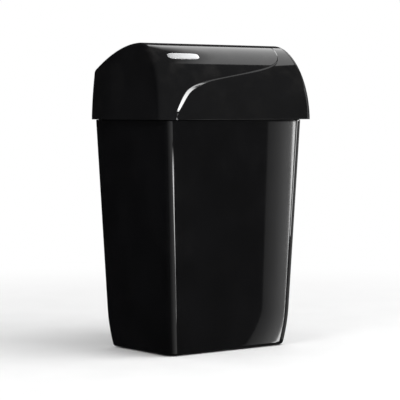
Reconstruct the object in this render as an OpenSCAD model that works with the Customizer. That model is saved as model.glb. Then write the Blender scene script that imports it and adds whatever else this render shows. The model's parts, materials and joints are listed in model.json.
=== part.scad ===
// Waste bin for a washroom wall: a tapered plastic bucket under a hinged, hooded lid.
// Millimetres, +Z up, front towards -Y. The origin is on the floor, under the middle of
// the overall box. The bucket, the fixed back panel and the hinge rod stand still, the
// hood swings up and back about the rod, and the bag ring tilts up from the bucket's rim.

/* [Bucket] */
// Width of the bucket at the hood's lower edge
body_w = 326; // [290:2:400]
// Depth of the bucket at the hood's lower edge
body_d = 214; // [180:2:260]
// Wall of the bucket
body_wall = 3; // [2.5:0.5:4]
// Thickness of the bucket's floor
floor_t = 3; // [2.5:0.5:5]
// Height of the rim above the hood's lower edge
rim_rise = 17.5; // [16:0.5:24]
// Draft of each side, sideways per height
side_draft = 0.05; // [0.02:0.01:0.07]
// Draft of the front, inwards per height
front_draft = 0.033; // [0.01:0.001:0.05]
// Draft of the back, inwards per height
rear_draft = 0.03; // [0.01:0.01:0.05]
// How much the bucket pulls in at its foot
flare_in = 5.5; // [3:0.5:10]
// Height over which the foot pulls in
flare_h = 72; // [40:2:90]
// Radius of the bucket's front corners
body_corner = 18; // [14:1:30]
// Radius of the bucket's rear corners
rear_corner = 6; // [5:1:14]
// Step from each side of the bucket to the neck inside the hood
neck_in = 4; // [3:0.5:8]
// Step from the bucket's front to the neck inside the hood
neck_front_in = 9; // [8.5:0.5:12]

/* [Hood] */
// Height of the hood's lower edge above the floor
lid_edge_z = 422.5; // [340:2.5:520]
// Height of the hood from its lower edge to its ridge
lid_h = 137.5; // [125:2.5:170]
// Overhang of the hood beyond the bucket's front
front_over = 3; // [3:0.5:14]
// Overhang of the hood beyond each side of the bucket
side_over = 16; // [10:1:18]
// Distance from the wall's plane to the hood's open back
rear_in = 13.5; // [8:0.5:18]
// Wall of the hood
lid_wall = 2.5; // [2:0.5:3]
// Lean of each side of the hood from its lower edge to its ridge
lid_lean = 14.5; // [8:0.5:16]
// Distance of the ridge behind the middle of the overall depth, negative towards the front
ridge_y = -25.5; // [-35:0.5:-10]
// Radius of the hood's front and top corners
lid_corner = 9; // [6:1:18]
// Width of the smooth step along the hood's S-shaped line
step_w = 6; // [4:1:9]
// Depth of the scoop behind the S-shaped line
scoop_depth = 4.5; // [2:0.5:5]
// Distance from the line over which the scoop runs out
scoop_len = 75; // [50:5:110]
// Half of the S-shaped line's width
curve_half = 134; // [100:1:135]

/* [Hinge] */
// Outer radius of the hood's rear roll, round the hinge axis
roll_r = 9; // [9:0.5:11]
// Drop from the ridge to the hinge axis
hinge_drop = 53.5; // [50:0.5:60]
// Diameter of the hinge rod
rod_d = 5; // [4:0.5:6]
// Radial clearance of what turns on a pin
run_fit = 0.05; // [0.03:0.01:0.08]
// Thickness of each hinge arm
arm_t = 5; // [4:0.5:6]
// Wall of each hinge bush
bush_wall = 1.6; // [1:0.1:1.8]

/* [Back panel] */
// Thickness of the back panel
panel_t = 4; // [3:0.5:5]
// Distance between the two wall screws
wall_pitch = 200; // [140:10:220]
// Height of the wall screws above the hood's lower edge
wall_rise = 47.5; // [36:0.5:50]
// Diameter of each wall screw's hole
wall_hole_d = 5.5; // [4.5:0.5:6.5]

/* [Bag ring] */
// Thickness of the ring's flange
ring_t = 3; // [2.5:0.5:4]
// Width of the ring's flange
ring_w = 11; // [9:0.5:13]
// Depth of the ring's skirt inside the mouth
skirt_h = 12; // [8:1:16]
// Diameter of the ring's two pivot pins
ring_pin_d = 5; // [4:0.5:5]

/* [Feet and buffers] */
// Diameter of each rubber foot
foot_d = 20; // [16:1:26]
// Height of each foot under the bucket
foot_h = 2; // [1.5:0.5:4]
// Inset of the feet from the bucket's foot
foot_inset = 24; // [22:1:36]
// Diameter of each closing buffer
buffer_d = 9; // [7:0.5:9]

/* [Hidden] */
$fn = 48;

// Gap of pieces that only lie against each other
seat_gap = 0.3;
// A little more than nothing, so that a cut passes through a face
over = 0.5;

// Overall box
depth = body_d + front_over;
back_y = depth / 2;
hood_front_y = -depth / 2;
hood_rear_y = back_y - rear_in;
body_front_y = hood_front_y + front_over;
hood_half = body_w / 2 + side_over;
top_z = lid_edge_z + lid_h;
rim_z = lid_edge_z + rim_rise;

// Back panel, its stand-offs for the wall screws, and its own screws in one row
panel_front_y = hood_rear_y - panel_t;
seat_y = panel_front_y - seat_gap;
panel_z0 = lid_edge_z + 1;
panel_gap = 2;
standoff_r = 9;
screw_r = 1.75;
screw_head_r = 3.6;
screw_head_h = 2;
screw_len = 13;
screw_x = [body_w * 0.15, body_w * 0.4];
screw_z = rim_z - 8.5;
screw_boss_r = 5;
screw_boss_len = 8;

// Shoulder under the hood's edge, neck and mouth of the bucket
shoulder_z = lid_edge_z - 2;
shoulder_rise = 1.2;
neck_half = body_w / 2 - neck_in;
neck_front_y = body_front_y + neck_front_in;
neck_corner = 10;
mouth_half = neck_half - body_wall;
mouth_front_y = neck_front_y + body_wall;
mouth_rear_y = seat_y - body_wall;

// Hinge axis, knuckles, arms and rod along X
hinge_y = hood_rear_y - roll_r;
hinge_z = top_z - hinge_drop;
rod_r = rod_d / 2;
open_deg = 70;
knuckle_r = roll_r - lid_wall - 0.5;
web_top_y = roll_r * cos(open_deg + 10);
arm_boss_r = roll_r - lid_wall - seat_gap;
side_gap = 0.5;
cap_t = 2.5;
cap_r = 5;
cap_gap = 0.8;
inner_half_at_hinge = hood_half_at(hinge_z + cap_r) - lid_wall;
cap_end_x = inner_half_at_hinge - cap_gap;
arm_x1 = cap_end_x - cap_t - side_gap;
arm_x0 = arm_x1 - arm_t;
knuckle_x1 = arm_x0 - side_gap;
knuckle_len = 32;
mid_knuckle_len = 60;
bush_r = rod_r + run_fit + bush_wall;
web_drop = 22;
plate_top_z = hinge_z - roll_r - 1;

// Places of the arm's two screws and of its heel, from the hinge axis
arm_screw_at = [[-24, -12], [-56, -6]];
arm_screw_r = 1.75;
arm_head_r = 3.4;
arm_head_h = 2;
arm_thread_past = 4;
arm_boss_out_r = 5;
heel_drop = 36;
heel_h = 14;
heel_y = hinge_y + 0.7;
buffer_z = hinge_z - heel_drop + heel_h / 2;
buffer_x = (arm_x0 + arm_x1) / 2;
buffer_stem_r = 2.5;

// Bag ring and its pivots
ring_z0 = rim_z + seat_gap;
ring_gap = 1.7;
ring_rear_gap = 1.7;
skirt_t = 2.2;
skirt_short = 14;
hole_corner = 8;
hole_rear_corner = 6;
ring_axis_y = hinge_y - 4;
ring_axis_z = ring_z0 + ring_t + 6.7;
ring_pin_r = ring_pin_d / 2;
ring_lug_r = 5;
ring_lug_x0 = body_w / 3 + 4;
ring_lug_len = 7.5;
clip_len = 8;
clip_x0 = ring_lug_x0 + ring_lug_len + seat_gap;
flange_end_y = ring_axis_y - 4;

// Feet
foot_stud_r = 3;
foot_stud_h = 4.3;
foot_boss_r = 7;
foot_boss_h = 3;
foot_edge_r = 4;

// How finely the moulded shells are divided
corner_n = 6;
flare_n = 6;
front_n = 20;
roof_n = 8;
roll_n = 4;
side_n = 3;
round_n = 4;
left_n = 8;
right_n = 12;

// ---------- outlines and the bucket's shell ----------

// Quarter circle round [cx, cy] from angle a0, as points
function quarter(cx, cy, r, a0) =
    [for (i = [0:corner_n]) [cx + r * cos(a0 + 90 * i / corner_n),
                             cy + r * sin(a0 + 90 * i / corner_n)]];

// Rectangle from front to back with front corners rf and rear corners rr
function outline(half, front, back, rf, rr) = concat(
    quarter(half - rr, back - rr, rr, 0),
    quarter(-half + rr, back - rr, rr, 90),
    quarter(-half + rf, front + rf, rf, 180),
    quarter(half - rf, front + rf, rf, 270));

// The foot's extra inward pull, growing as a square towards the floor
function flare(z) = flare_in * pow(max(0, (flare_h - z) / flare_h), 2);
function body_half_at(z) = body_w / 2 - side_draft * (lid_edge_z - z) - flare(z);
function body_front_at(z) = body_front_y + front_draft * (lid_edge_z - z) + flare(z);
function body_rear_at(z) = back_y - rear_draft * (lid_edge_z - z) - flare(z);

// One ring of the bucket or of its neck at height z, moved inwards by d
function body_ring(z, d) = [z, outline(
    body_half_at(z) - d, body_front_at(z) + d, body_rear_at(z) - d,
    max(1.5, body_corner - d), max(1.5, rear_corner - d))];
function neck_ring(z, d) = [z, outline(
    neck_half - d, neck_front_y + d, seat_y - d, neck_corner - d, neck_corner - d)];

// Rounded edge of the foot: the inward move and the rise at step i of 3
function edge_in(i) = foot_edge_r * (1 - sin(30 * i));
function edge_up(i) = foot_edge_r * (1 - cos(30 * i));

body_outside = concat(
    [for (i = [0:3]) body_ring(foot_h + edge_up(i), edge_in(i))],
    [for (i = [1:flare_n]) body_ring(foot_h + foot_edge_r
        + (flare_h - foot_h - foot_edge_r) * i / flare_n, 0)],
    [body_ring(shoulder_z, 0), neck_ring(shoulder_z + shoulder_rise, 0), neck_ring(rim_z, 0)]);
body_inside = concat(
    [neck_ring(rim_z, body_wall), neck_ring(shoulder_z + shoulder_rise - body_wall, body_wall),
     body_ring(shoulder_z - body_wall, body_wall)],
    [for (i = [flare_n:-1:1]) body_ring(foot_h + floor_t + foot_edge_r
        + (flare_h - foot_h - floor_t - foot_edge_r) * i / flare_n, body_wall)],
    [for (i = [3:-1:0]) body_ring(foot_h + floor_t + edge_up(i), body_wall + edge_in(i))]);
body_rings = concat(body_outside, body_inside);

// A closed loft through rings that all have the same number of points
module loft(rings) {
    n = len(rings[0][1]);
    last = (len(rings) - 1) * n;
    polyhedron(
        points = [for (ring = rings) for (p = ring[1]) [p[0], p[1], ring[0]]],
        faces = concat(
            [[for (i = [0:n - 1]) i]],
            [for (k = [0:len(rings) - 2]) for (i = [0:n - 1])
                let (a = k * n + i, b = k * n + (i + 1) % n)
                each [[a, a + n, b + n], [a, b + n, b]]],
            [[for (i = [n - 1:-1:0]) last + i]]),
        convexity = 6);
}

module mirrored_x() {
    children();
    mirror([1, 0, 0]) children();
}

// A cylinder along +X that starts at x
module rod_x(x, len, r) {
    translate([x, 0, 0]) rotate([0, 90, 0]) cylinder(h = len, r = r);
}

// A cylinder along +Y that starts at y
module rod_y(y, len, r) {
    translate([0, y, 0]) rotate([-90, 0, 0]) cylinder(h = len, r = r);
}

module at_feet() {
    for (sx = [-1, 1]) for (back = [0, 1])
        translate([sx * foot_x(), foot_y(back), 0]) children();
}
function foot_x() = body_half_at(foot_h) - foot_inset;
function foot_y(back) =
    back == 1 ? body_rear_at(foot_h) - foot_inset : body_front_at(foot_h) + foot_inset;

module at_panel_screws() {
    for (sx = [-1, 1]) for (x = screw_x) translate([sx * x, 0, screw_z]) children();
}

module bin_body() {
    color("#141416") difference() {
        union() {
            loft(body_rings);
            at_feet() translate([0, 0, foot_h + floor_t - over])
                cylinder(h = foot_boss_h + over, r = foot_boss_r);
            at_panel_screws()
                rod_y(mouth_rear_y - screw_boss_len, screw_boss_len + over, screw_boss_r);
        }
        at_feet() translate([0, 0, foot_h - over])
            cylinder(h = foot_stud_h + 2 * over, r = foot_stud_r + run_fit);
        at_panel_screws()
            rod_y(hood_rear_y - screw_len - over, screw_len, screw_r + run_fit);
    }
}

// ---------- feet, screws, rod ----------

module foot(sx, back) {
    color("#1c1c1c") translate([sx * foot_x(), foot_y(back), 0]) {
        cylinder(h = foot_h, r = foot_d / 2);
        cylinder(h = foot_h + foot_stud_h, r = foot_stud_r);
    }
}

module panel_screws() {
    color("silver") at_panel_screws() {
        rod_y(hood_rear_y - screw_len, screw_len - screw_head_h / 2, screw_r);
        translate([0, hood_rear_y - screw_head_h, 0]) rotate([-90, 0, 0])
            cylinder(h = screw_head_h, r1 = screw_r, r2 = screw_head_r);
    }
}

module at_hinge() {
    translate([0, hinge_y, hinge_z]) children();
}

module hinge_rod() {
    color("silver") at_hinge() rod_x(-cap_end_x + 1, 2 * cap_end_x - 2, rod_r);
}

module rod_cap() {
    color("#1c1c1c") at_hinge() difference() {
        rod_x(cap_end_x - cap_t, cap_t, cap_r);
        rod_x(cap_end_x - cap_t - over, cap_t + over - 1, rod_r);
    }
}

// ---------- back panel ----------

// Profile of a knuckle's web: it stays clear of the hood's rear roll as that turns down
module web_profile() {
    polygon([[-knuckle_r + 1, -web_drop], [roll_r - panel_t + 1, -web_drop],
             [roll_r - panel_t + 1, -roll_r - 1], [web_top_y, -roll_r - 1],
             [web_top_y, 0], [-knuckle_r + 1, 0]]);
}

// A profile drawn in Y and Z, drawn out along X from x0
module along_x(x0, len) {
    translate([x0, 0, 0]) rotate([90, 0, 90]) linear_extrude(height = len) children();
}

module knuckle(x0, len) {
    rod_x(x0, len, knuckle_r);
    along_x(x0, len) web_profile();
}

// Plate that tapers with the leaning sides of the hood round it
module panel_plate() {
    low = hood_half_at(panel_z0) - lid_wall - panel_gap;
    top = hood_half_at(plate_top_z) - lid_wall - panel_gap;
    translate([0, hood_rear_y, 0]) rotate([90, 0, 0]) linear_extrude(height = panel_t)
        polygon([[-low, panel_z0], [low, panel_z0], [top, plate_top_z], [-top, plate_top_z]]);
}

module at_wall_screws() {
    for (sx = [-1, 1]) translate([sx * wall_pitch / 2, 0, lid_edge_z + wall_rise]) children();
}

module back_panel() {
    color("#18181a") difference() {
        union() {
            panel_plate();
            at_wall_screws() rod_y(hood_rear_y - 1, rear_in + 1, standoff_r);
            at_hinge() {
                mirrored_x() knuckle(knuckle_x1 - knuckle_len, knuckle_len);
                knuckle(-mid_knuckle_len / 2, mid_knuckle_len);
            }
        }
        at_hinge() rod_x(-knuckle_x1 - over, 2 * (knuckle_x1 + over), rod_r + run_fit);
        at_wall_screws()
            rod_y(panel_front_y - over, back_y - panel_front_y + 2 * over, wall_hole_d / 2);
        at_panel_screws() {
            rod_y(panel_front_y - over, panel_t + 2 * over, screw_r + run_fit);
            translate([0, hood_rear_y - screw_head_h - run_fit, 0]) rotate([-90, 0, 0])
                cylinder(h = screw_head_h + 2 * run_fit, r1 = screw_r + run_fit,
                         r2 = screw_head_r + 2 * run_fit);
        }
        for (sx = [-1, 1]) translate([sx * buffer_x, 0, buffer_z])
            rod_y(panel_front_y - over, panel_t + 2 * over, buffer_stem_r + run_fit);
    }
}

module buffer(sx) {
    color("#1c1c1c") translate([sx * buffer_x, 0, buffer_z]) {
        rod_y(heel_y + seat_gap, panel_front_y - heel_y - seat_gap, buffer_d / 2);
        rod_y(heel_y + seat_gap, hood_rear_y - heel_y - seat_gap - 1, buffer_stem_r);
    }
}

// ---------- bag ring ----------

ring_in_half = neck_half - ring_w;
ring_in_front = neck_front_y + ring_w;
ring_in_rear = mouth_rear_y - ring_rear_gap - ring_w;
ring_hole = outline(ring_in_half, ring_in_front, ring_in_rear, hole_corner, hole_rear_corner);

module bag_ring() {
    color("#2a2a2c") difference() {
        union() {
            translate([0, 0, ring_z0]) linear_extrude(height = ring_t) {
                polygon(outline(neck_half, neck_front_y, flange_end_y, neck_corner, 2));
                polygon(outline(mouth_half - ring_gap, mouth_front_y,
                                mouth_rear_y - ring_rear_gap, 8, 4));
            }
            translate([0, 0, ring_z0 - skirt_h]) linear_extrude(height = skirt_h + 1)
                polygon(outline(mouth_half - ring_gap, mouth_front_y + ring_gap,
                                ring_in_rear - skirt_short, 12, 3));
            mirrored_x() translate([0, ring_axis_y, ring_axis_z]) {
                rod_x(ring_lug_x0, ring_lug_len, ring_lug_r);
                along_x(ring_lug_x0, ring_lug_len) translate([-ring_lug_r, ring_z0 - ring_axis_z + 1])
                    square([2 * ring_lug_r - 1, ring_axis_z - ring_z0 - 1]);
                rod_x(ring_lug_x0 + 1, ring_lug_len + clip_len - 1, ring_pin_r);
            }
        }
        translate([0, 0, ring_z0 - skirt_h - over])
            linear_extrude(height = skirt_h + ring_t + 2 * over) polygon(ring_hole);
        translate([0, 0, ring_z0 - skirt_h - over]) linear_extrude(height = skirt_h + over)
            polygon(outline(mouth_half - ring_gap - skirt_t, mouth_front_y + ring_gap + skirt_t,
                            mouth_rear_y, 10, 3));
    }
}

module ring_clip() {
    h = 2 * ring_lug_r + 1;
    color("#18181a") translate([0, ring_axis_y, ring_axis_z]) difference() {
        along_x(clip_x0, clip_len) translate([-ring_lug_r - 0.5, -ring_lug_r])
            square([panel_front_y - ring_axis_y + ring_lug_r + 0.5, h]);
        rod_x(clip_x0 - over, clip_len + 2 * over, ring_pin_r + run_fit);
    }
}

// ---------- hinge arms ----------

module arm_profile() {
    reach = -arm_screw_at[1][0] + 9;
    heel = -heel_drop;
    rear = heel_y - hinge_y;
    polygon([[0, arm_boss_r - 0.4], [-reach + 7, 3], [-reach, -5], [-reach + 7, -14],
             [-18, -22], [-11, heel], [rear, heel], [rear, -18], [4.2, -3], [3, 0]]);
}

// Boss on the hood's inner side wall for each arm screw
module arm_bosses() {
    mirrored_x() for (at = arm_screw_at) at_hinge() translate([0, at[0], at[1]])
        rod_x(arm_x1 + side_gap / 2,
              hood_half_at(hinge_z + at[1]) - lid_wall / 2 - arm_x1 - side_gap / 2, arm_boss_out_r);
}

module arm_pilots(r, grow) {
    mirrored_x() for (at = arm_screw_at) at_hinge() translate([0, at[0], at[1]])
        rod_x(arm_x0 - over, arm_t + arm_thread_past + 1 + grow, r);
}

module hinge_arm() {
    color("#18181a") difference() {
        at_hinge() difference() {
            union() {
                rod_x(arm_x0, arm_t, arm_boss_r);
                along_x(arm_x0, arm_t) arm_profile();
            }
            rod_x(arm_x0 - over, arm_t + 2 * over, bush_r + run_fit);
        }
        arm_pilots(arm_screw_r + run_fit, over);
    }
}

module arm_screws() {
    color("silver") mirrored_x() for (at = arm_screw_at)
        at_hinge() translate([0, at[0], at[1]]) {
            rod_x(arm_x0 - arm_head_h, arm_head_h, arm_head_r);
            rod_x(arm_x0 - 1, arm_t + arm_thread_past + 1, arm_screw_r);
        }
}

module hinge_bush() {
    color("ivory") at_hinge() difference() {
        rod_x(arm_x0, arm_t, bush_r);
        rod_x(arm_x0 - over, arm_t + 2 * over, rod_r + run_fit);
    }
}

// ---------- hood ----------

// Half width of the hood at height z: the sides lean in slowly, then faster
function lean_at(t) = lid_lean * (0.25 * t + 0.75 * pow(t, 2.2));
function hood_half_at(z) =
    hood_half - lean_at(min(1, max(0, (z - lid_edge_z) / lid_h)));

// Direction of the roll's normal where the roof's parabola meets it
function roll_angle(a, n) = n == 0 ? a :
    roll_angle(90 - atan(2 * (hinge_drop - roll_r * sin(a))
                         / (hinge_y + roll_r * cos(a) - ridge_y)), n - 1);
roll_a = roll_angle(53, 4);

// Profile point k of the hood moved inwards by d: [y, z, normal y, normal z].
// A quarter ellipse in front, a parabola behind the ridge, an arc round the hinge axis.
function front_point(a, d) =
    let (run = ridge_y - hood_front_y - d, rise = lid_h - d,
         dy = run * sin(a), dz = rise * cos(a), l = norm([dy, dz]))
    [hood_front_y + d + run * (1 - cos(a)), lid_edge_z + rise * sin(a), -dz / l, dy / l];
function roof_point(u, d) =
    let (r = roll_r - d, end_y = hinge_y + r * cos(roll_a), end_z = hinge_z + r * sin(roll_a),
         c = (top_z - d - end_z) / pow(end_y - ridge_y, 2), run = (end_y - ridge_y) * u,
         l = norm([2 * c * run, 1]))
    [ridge_y + run, top_z - d - c * run * run, 2 * c * run / l, 1 / l];
function roll_point(u, d) =
    let (a = roll_a * (1 - u))
    [hinge_y + (roll_r - d) * cos(a), hinge_z + (roll_r - d) * sin(a), cos(a), sin(a)];
function profile(k, d) =
    k <= front_n ? front_point(90 * k / front_n, d)
    : k <= front_n + roof_n ? roof_point((k - front_n) / roof_n, d)
    : roll_point((k - front_n - roof_n) / roll_n, d);
function round_at(k) = let (u = min(1, max(0, (k - front_n) / roof_n)))
    lid_corner + (1.2 - lid_corner) * u * u;

// The S-shaped line: its place across the hood at height share t, and its slope per height
curve_mid = 0.585;
curve_soft = 0.155;
function curve_q(t) = (t - curve_mid) / curve_soft;
function curve_n(t) = t < curve_mid ? 2.2 : 3;
function curve_x(t) = let (q = curve_q(t), n = curve_n(t))
    curve_half * q / pow(1 + pow(abs(q), n), 1 / n);
function curve_stretch(t) = let (q = curve_q(t), n = curve_n(t))
    norm([1, curve_half / (curve_soft * lid_h) * pow(1 + pow(abs(q), n), -1 - 1 / n)]);

// Depth of the scoop at a distance s beyond the line, fading to nothing at the ridge
function scoop(s, t) = s <= 0 ? 0 : scoop_depth * (1 - pow(t, 8)) * min(1, s / step_w)
    * pow(max(0, 1 - max(0, s - step_w) / scoop_len), 2);

// One line of points across the hood for profile point k, from the left side's rear foot
// to the right side's: side wall, rounded corner, front or roof, rounded corner, side wall
function side_points(e, d, sx) =
    [for (i = [1:side_n]) let (f = i / side_n, y = hood_rear_y + f * (e[0] - hood_rear_y),
                               z = lid_edge_z + f * (e[1] - lid_edge_z))
        [sx * (hood_half_at(z) - d), y, z]];
function corner_points(p, r, d, sx) =
    [for (i = [1:round_n]) let (a = 90 - 90 * i / round_n, z = p[1] - p[3] * r * (1 - cos(a)))
        [sx * (hood_half_at(z) - d - r + r * sin(a)), p[0] - p[2] * r * (1 - cos(a)), z]];
function flat_points(p, k, edge) =
    let (t = sin(90 * min(1, k / front_n)), xc = curve_x(t), stretch = curve_stretch(t),
         xs = xc + min(step_w * stretch, (edge - xc) / 2))
    [for (x = concat([for (i = [1:left_n]) -edge + (xc + edge) * i / left_n],
                     [for (i = [0:right_n - 1]) xs + (edge - xs) * pow(i / right_n, 1.3)]))
        let (s = k <= front_n ? scoop((x - xc) / stretch, t) : 0)
        [x, p[0] - p[2] * s, p[1] - p[3] * s]];
function reversed(v) = [for (i = [len(v) - 1:-1:0]) v[i]];
function hood_row(k, d) =
    let (p = profile(k, d), r = max(0.6, round_at(k) - d), edge = hood_half_at(p[1]) - d - r,
         e = [p[0] - p[2] * r, p[1] - p[3] * r])
    concat(side_points(e, d, -1), corner_points(p, r, d, -1),
           flat_points(p, k, edge), reversed(corner_points(p, r, d, 1)),
           reversed(side_points(e, d, 1)));

// A sheet with a wall: an outer and an inner grid of points, joined along both long edges.
// Each grid's short ends run together in one point, the left and right hub.
module walled_sheet(rows, hubs) {
    n = len(rows[0][0]);
    m = len(rows[0]);
    hub0 = 2 * m * n;
    function at(side, k, v) =
        v == 0 ? hub0 + 2 * side : v == n + 1 ? hub0 + 2 * side + 1
        : side * m * n + k * n + v - 1;
    function cell(side, k, v) =
        let (a = at(side, k, v), b = at(side, k, v + 1),
             c = at(side, k + 1, v), d = at(side, k + 1, v + 1),
             tris = v == 0 ? [[a, d, b]] : v == n ? [[a, c, d]] : [[a, c, d], [a, d, b]])
        side == 0 ? tris : [for (f = tris) [f[0], f[2], f[1]]];
    polyhedron(
        points = concat([for (sheet = rows) for (row = sheet) each row], hubs),
        faces = concat(
            [for (side = [0, 1]) for (k = [0:m - 2]) for (v = [0:n]) each cell(side, k, v)],
            [for (v = [0:n]) let (a = at(0, 0, v), b = at(0, 0, v + 1),
                                  c = at(1, 0, v), d = at(1, 0, v + 1))
                each [[a, b, d], [a, d, c]]],
            [for (v = [0:n]) let (a = at(0, m - 1, v), b = at(0, m - 1, v + 1),
                                  c = at(1, m - 1, v), d = at(1, m - 1, v + 1))
                each [[b, a, c], [b, c, d]]]),
        convexity = 8);
}

hood_last = front_n + roof_n + roll_n;

module lid_hood() {
    color("#1b1b1e") difference() {
        union() {
            walled_sheet([for (d = [0, lid_wall]) [for (k = [0:hood_last]) hood_row(k, d)]],
                         [for (d = [0, lid_wall]) for (sx = [-1, 1])
                             [sx * (hood_half - d), hood_rear_y, lid_edge_z]]);
            arm_bosses();
        }
        arm_pilots(arm_screw_r + run_fit, over);
    }
}

// ---------- blank badge on the hood's brow ----------

badge_x = -96;
badge_half = 35;
badge_a = 55.5;
badge_half_a = 3.8;
badge_t = 0.9;
badge_nx = 12;
badge_na = 4;

// Curved plate with rounded ends that follows the hood's front
module blank_badge() {
    n = badge_nx + 1;
    lay = n * (badge_na + 1);
    function half_at(u) = badge_half_a * (0.3 + 0.7 * sqrt(1 - pow(abs(u), 5)));
    color("silver") polyhedron(
        points = [for (out = [0.05, badge_t]) for (j = [0:badge_na]) for (i = [0:badge_nx])
            let (u = 2 * i / badge_nx - 1,
                 p = front_point(badge_a + half_at(u) * (2 * j / badge_na - 1), 0))
            [badge_x + badge_half * u, p[0] + p[2] * out, p[1] + p[3] * out]],
        faces = concat(
            [for (s = [0, 1]) for (j = [0:badge_na - 1]) for (i = [0:badge_nx - 1])
                let (a = s * lay + j * n + i, t1 = [a, a + n + 1, a + 1], t2 = [a, a + n, a + n + 1])
                each s == 1 ? [t1, t2] : [[t1[0], t1[2], t1[1]], [t2[0], t2[2], t2[1]]]],
            [for (i = [0:badge_nx - 1]) let (a = i, b = i + lay) each [[a, b, b + 1], [a, b + 1, a + 1]]],
            [for (i = [0:badge_nx - 1]) let (a = badge_na * n + i, b = a + lay)
                each [[a, b + 1, b], [a, a + 1, b + 1]]],
            [for (j = [0:badge_na - 1]) let (a = j * n, b = a + lay)
                each [[a, a + n, b + n], [a, b + n, b]]],
            [for (j = [0:badge_na - 1]) let (a = j * n + badge_nx, b = a + lay)
                each [[a, b + n, a + n], [a, b, b + n]]]),
        convexity = 2);
}

bin_body();
back_panel();
panel_screws();
hinge_rod();
mirror([1, 0, 0]) rod_cap();  // rod_cap_left
rod_cap();  // rod_cap_right
bag_ring();
mirror([1, 0, 0]) ring_clip();  // ring_clip_left
ring_clip();  // ring_clip_right
foot(-1, 0);  // foot_front_left
foot(1, 0);  // foot_front_right
foot(-1, 1);  // foot_rear_left
foot(1, 1);  // foot_rear_right
buffer(-1);  // buffer_left
buffer(1);  // buffer_right
lid_hood();
mirror([1, 0, 0]) hinge_arm();  // hinge_arm_left
hinge_arm();  // hinge_arm_right
arm_screws();
mirror([1, 0, 0]) hinge_bush();  // hinge_bush_left
hinge_bush();  // hinge_bush_right
blank_badge();
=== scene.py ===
"""Looks of a gloss black washroom waste bin: a tapered bucket under a hinged, hooded lid.

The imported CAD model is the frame. The two moulded shells and the blank badge are worked out
here as fine surfaces that stand for their CAD nodes, and every other node keeps its CAD mesh
and is given a finish. Everything is in metres, +Z up, with the front towards -Y.
"""

import json
import logging
import math
from dataclasses import dataclass, field
from enum import Enum

import bmesh
import bpy
import numpy as np
from mathutils import Matrix, Vector


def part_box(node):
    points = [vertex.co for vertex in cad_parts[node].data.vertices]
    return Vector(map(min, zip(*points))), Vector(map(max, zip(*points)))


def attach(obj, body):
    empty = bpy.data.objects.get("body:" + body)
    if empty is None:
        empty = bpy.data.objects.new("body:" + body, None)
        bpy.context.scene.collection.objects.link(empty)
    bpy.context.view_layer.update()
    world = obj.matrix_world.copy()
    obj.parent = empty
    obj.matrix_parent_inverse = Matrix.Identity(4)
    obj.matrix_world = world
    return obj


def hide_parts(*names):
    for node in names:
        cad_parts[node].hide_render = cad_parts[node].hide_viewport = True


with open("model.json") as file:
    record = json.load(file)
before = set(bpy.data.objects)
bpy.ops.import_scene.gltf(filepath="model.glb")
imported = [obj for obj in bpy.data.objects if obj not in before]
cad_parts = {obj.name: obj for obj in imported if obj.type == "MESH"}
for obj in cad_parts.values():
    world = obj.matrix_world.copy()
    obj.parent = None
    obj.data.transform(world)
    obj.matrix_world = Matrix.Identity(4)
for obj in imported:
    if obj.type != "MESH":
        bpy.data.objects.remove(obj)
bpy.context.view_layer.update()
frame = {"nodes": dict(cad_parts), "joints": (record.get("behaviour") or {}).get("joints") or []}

LOG = logging.getLogger("waste_bin")


# ---------- meshes from grids ----------


def crowded(count: int) -> np.ndarray:
    """Shares from 0 to 1 that crowd together at both ends, so that flats stay flat.

    Args:
        count: How many steps to take.

    Returns:
        count + 1 shares: half of one less the cosine of an evenly growing angle.
    """
    return 0.5 * (1.0 - np.cos(np.pi * np.linspace(0.0, 1.0, count + 1)))


def grid_faces(rows: int, columns: int, closed: bool = False) -> np.ndarray:
    """Four-sided faces of a grid whose points are stored row after row.

    Args:
        rows: How many rows of points there are.
        columns: How many points each row has.
        closed: Whether each row runs back into its own first point.

    Returns:
        One line of four point numbers per face.
    """
    row = np.arange(rows - 1)[:, None] * columns
    here = np.arange(columns if closed else columns - 1)[None, :]
    there = (here + 1) % columns
    corners = [row + here, row + there, row + columns + there, row + columns + here]
    return np.stack([c.ravel() for c in corners], axis=1)


def new_object(name: str, data: bpy.types.ID) -> bpy.types.Object:
    """Make an object and put it into the scene.

    Args:
        name: The object's name.
        data: Its mesh, camera or lamp.

    Returns:
        The object, at the origin.
    """
    made = bpy.data.objects.new(name, data)
    bpy.context.scene.collection.objects.link(made)
    return made


class MeshParts:
    """Gathers grids and caps into the points and faces of one mesh."""

    def __init__(self) -> None:
        """Start with nothing gathered."""
        self.points: list[np.ndarray] = []
        self.faces: list[list[int]] = []
        self.count = 0

    def add(self, points: np.ndarray, faces: np.ndarray, flip: bool = False) -> None:
        """Add points and the faces between them.

        Args:
            points: The places, three numbers in the last axis.
            faces: Point numbers that count from the first of these points.
            flip: Whether to turn the faces round.
        """
        flat = np.asarray(points, float).reshape(-1, 3)
        turned = faces[:, ::-1] if flip else faces
        self.points.append(flat)
        self.faces.extend((turned + self.count).tolist())
        self.count += len(flat)

    def build(self, name: str) -> bpy.types.Object:
        """Make the object, with smooth faces and doubled points merged.

        Args:
            name: The piece's name.

        Returns:
            The new object, at the origin and in the scene.
        """
        mesh = bpy.data.meshes.new(name)
        mesh.from_pydata(np.concatenate(self.points), [], self.faces)
        mesh.validate()
        piece = new_object(name, mesh)
        merge_doubles(mesh)
        mesh.shade_smooth()
        return piece


def merge_doubles(mesh: bpy.types.Mesh, within: float = 2e-6) -> None:
    """Join points that lie on each other, so that seams and poles are closed.

    Args:
        mesh: The mesh to mend.
        within: How near two points are when they count as one.
    """
    work = bmesh.new()
    work.from_mesh(mesh)
    bmesh.ops.remove_doubles(work, verts=work.verts, dist=within)
    bmesh.ops.dissolve_degenerate(work, edges=work.edges, dist=within)
    work.to_mesh(mesh)
    work.free()


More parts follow.
